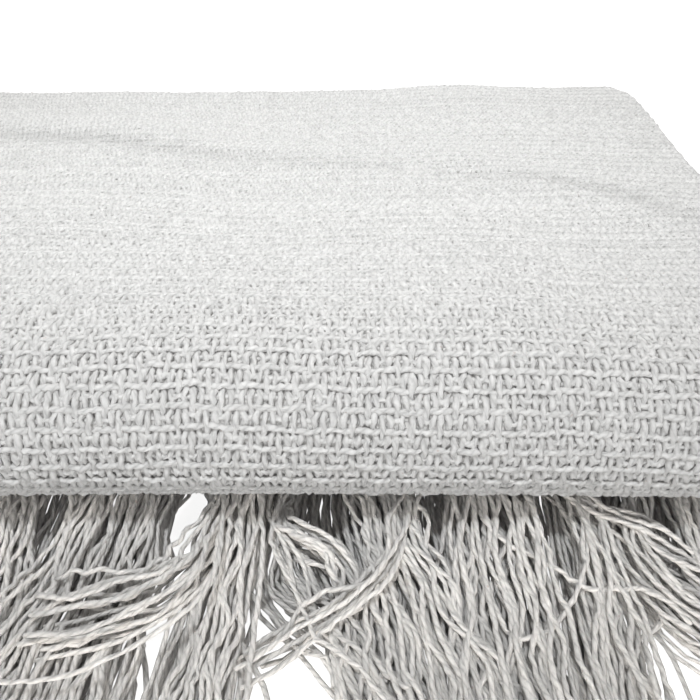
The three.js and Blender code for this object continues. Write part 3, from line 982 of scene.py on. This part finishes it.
def settleStrands(strands):
    # the strands fall, rest on each other and on the floor, and keep their length and their roots
    count = strands.shape[1]
    spots = strands.copy()
    owner = np.repeat(np.arange(len(strands)), count)
    pinned = 2
    steps = np.linalg.norm(strands[:, 2:3] - strands[:, 1:2], axis=2, keepdims=True)
    steps = np.clip(steps, yarn["step"] * (1 - yarn["vary"]), yarn["step"] * (1 + yarn["vary"]))
    apart = 2 * yarn["radius"] * yarn["press"]
    for turn in range(yarn["settling"]):
        free = spots[:, pinned:]
        free[..., 2] -= yarn["sag"] * min(1, (yarn["settling"] - turn) / 20)
        free += (strands[:, pinned:] - free) * (yarn["hold"], yarn["hold"], yarn["hold"] / 2)
        flat = spots.reshape(-1, 3)
        if turn % 4 == 0:
            first, second = nearPairs(flat, apart * yarn["near"])
            other = owner[first] != owner[second]
            first, second = first[other], second[other]
        gap = flat[first] - flat[second]
        far = np.linalg.norm(gap, axis=1)
        close = (far < apart) & (far > 1e-6)
        push = gap[close] * ((apart - far[close]) / far[close] * yarn["push"])[:, None]
        moved = np.zeros_like(flat)
        for axis in range(3):
            moved[:, axis] = (np.bincount(first[close], push[:, axis], len(flat))
                              - np.bincount(second[close], push[:, axis], len(flat)))
        flat += np.clip(moved, -yarn["mostPush"], yarn["mostPush"])
        spots = flat.reshape(strands.shape)
        for parity in (0, 1, 0, 1):
            a, b = spots[:, parity:-1:2], spots[:, parity + 1::2]
            span = b - a
            size = np.linalg.norm(span, axis=2, keepdims=True)
            change = span * (1 - steps / size) * 0.5
            a += change
            b -= change
        soften(spots, yarn["stiffness"])
        # clear of the front fold above and the floor below
        offY, offZ = spots[..., 1] - noseRadius, spots[..., 2] - (noseRadius + layerRise - fold["droop"])
        away = np.hypot(offY, offZ)
        lift = np.maximum(0, noseRadius + yarn["radius"] + yarn["clearance"] - away) / away
        spots[..., 1] += offY * lift
        spots[..., 2] += offZ * lift
        spots[..., 2] = np.maximum(spots[..., 2], yarn["radius"] * yarn["floorRest"])
        spots[..., 0] = np.clip(spots[..., 0], -yarn["sideReach"], yarn["sideReach"])
        spots[:, :pinned] = strands[:, :pinned]
    return spots


def buildFringe():
    dice = np.random.RandomState(11)
    height, pitch = yarn["height"], yarn["pitch"]
    upper, upperPlies = strandTargets(fillTufts(upperTufts, dice, height["upper"]),
                                      layerMiddles[0] + bundleOffset, pitch["upper"], dice)
    lower = strandTargets(fillTufts(lowerTufts, dice, height["lower"]),
                          layerMiddles[0] - bundleOffset, pitch["lower"], dice)[0]
    upper = np.concatenate([upper, looseTargets(dice)])
    upperPlies = np.concatenate([upperPlies, np.full(len(looseStrands), 3)])
    spots = settleStrands(np.concatenate([upper, lower]))
    soften(spots[:, 1:], 0.25)
    # unravelled yarn keeps the crimp of the weave
    spots[:, 3:] += dice.normal(0, yarn["kink"], spots[:, 3:].shape)
    spots[..., 2] = np.maximum(spots[..., 2], yarn["radius"] * yarn["floorRest"])
    spots = (spots + (shiftX, shiftY, 0)) * mm
    upper, lower = spots[:len(upper)], spots[len(upper):]
    middle = upper[:, 20, 0] / mm - shiftX
    shown = (upperPlies >= 2) & (middle > yarn["shown"][0]) & (middle < yarn["shown"][1])
    pieces = {
        "upper": [tubes("fringe_upper_shown", upper[shown], yarn["radius"], 6, fringeCotton, 0.09),
                  tubes("fringe_upper_rest", coarser(upper[~shown]), yarn["radius"], 4, fringeCotton)],
        "lower": [tubes("fringe_lower", coarser(lower), yarn["radius"], 4, fringeCotton)],
    }
    print("fringe", len(upper), len(lower), {k: [len(p.data.polygons) for p in v] for k, v in pieces.items()})
    return pieces


def coarser(lines):
    keep = sorted({0, *range(1, lines.shape[1], 3), lines.shape[1] - 1})
    return lines[:, keep]


fringePieces = buildFringe()


# The stage

paleFloor = {"Base Color": (0.97, 0.97, 0.97, 1), "Sheen Weight": 0, "Emission Color": (1, 1, 1, 1)}
floorPlan = {"halfSize": 4, "glow": 0.3, "seenGlow": 0.5}


def buildStage():
    bm = bmesh.new()
    bmesh.ops.create_grid(bm, x_segments=2, y_segments=2, size=floorPlan["halfSize"])
    # white to the eye as in the picture, shadows faint, yet throwing back only a floor's light
    pale, tree, shader = dullMaterial("paleFloor", paleFloor)
    seen = addNode(tree, "LightPath").outputs["Is Camera Ray"]
    glow = mathNode(tree, "MULTIPLY_ADD", seen, floorPlan["seenGlow"], floorPlan["glow"])
    tree.links.new(glow, shader.inputs["Emission Strength"])
    floor = pieceFromMesh("floor", bm, pale)


camera = {
    "ahead": 121.8,  # of the front fold
    "above": 98.7,  # the top of the stack
    "side": 22.0,
    "down": 35.5,
    "lens": 36.0,
}


def buildCamera():
    data = bpy.data.cameras.new("camera")
    data.lens = camera["lens"]
    data.clip_start = 0.005
    holder = intoScene("camera", data)
    spot = (camera["side"] + shiftX, shiftY - camera["ahead"], stackHeight + camera["above"])
    holder.location = Vector(spot) * mm
    holder.rotation_euler = (math.radians(90 - camera["down"]), 0, 0)
    bpy.context.scene.camera = holder


sky = {"color": (1, 0.985, 0.955, 1), "strength": 0.57, "lean": 0.24}
lamps = {
    # overhead, a little to the front, its light fading toward the fringe's ends
    "key": {"spot": (-0.08, -0.40, 1.25), "aim": (0.005, 0.08, 0.03), "watts": 42, "radius": 0.06,
            "cone": 26},
    "back": {"spot": (0.15, 1.1, 1.1), "aim": (0.0, 0.05, 0.05), "watts": 4, "size": 1.0},
    "low": {"spot": (0.03, -0.65, 0.12), "aim": (0.03, 0.0, 0.02), "watts": 0.75, "size": 0.3},
    # light thrown back under the fold, warm, on the fringe alone
    "under": {"spot": (0.03, -0.65, 0.04), "aim": (0.03, 0.0, 0.02), "watts": 2.5,
              "size": 0.25, "color": (1, 0.92, 0.83), "fringeOnly": True},
}
cool = (0.955, 0.98, 1)  # a lamp's colour where it has none of its own


def hang(name):
    look = lamps[name]
    data = bpy.data.lights.new(name, "SPOT" if "cone" in look else "AREA")
    data.energy = look["watts"]
    data.color = look.get("color", cool)
    if "cone" in look:
        data.shadow_soft_size = look["radius"]
        data.spot_size = math.radians(look["cone"])
        data.spot_blend = 1
    else:
        data.size = look["size"]
    lamp = intoScene(name, data)
    lamp.location = look["spot"]
    lamp.rotation_euler = (Vector(look["aim"]) - lamp.location).to_track_quat("-Z", "Y").to_euler()
    if look.get("fringeOnly"):
        lit = bpy.data.collections.new("fringe")
        for piece in fringePieces["upper"] + fringePieces["lower"]:
            lit.objects.link(piece)
        lamp.light_linking.receiver_collection = lit


def buildLights():
    world = bpy.data.worlds.new("studio")
    world.use_nodes = True
    tree = world.node_tree
    background = tree.nodes["Background"]
    background.inputs["Color"].default_value = sky["color"]
    # dimmer in front, where whoever took the picture stood, and plain white where it is seen itself
    split = addNode(tree, "SeparateXYZ", Vector=addNode(tree, "TexCoord").outputs["Generated"])
    dim = mathNode(tree, "MULTIPLY_ADD", split.outputs[1], sky["lean"], sky["strength"])
    seen = addNode(tree, "LightPath").outputs["Is Camera Ray"]
    tree.links.new(mathNode(tree, "MAXIMUM", dim, seen), background.inputs["Strength"])
    bpy.context.scene.world = world
    for name in lamps:
        hang(name)
    bpy.context.scene.view_settings.view_transform = "Standard"


buildStage()
buildCamera()
buildLights()

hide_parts("cloth")
for end in ("upper", "lower"):
    for piece in fringePieces[end]:
        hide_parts("fringe_" + end + "_end")
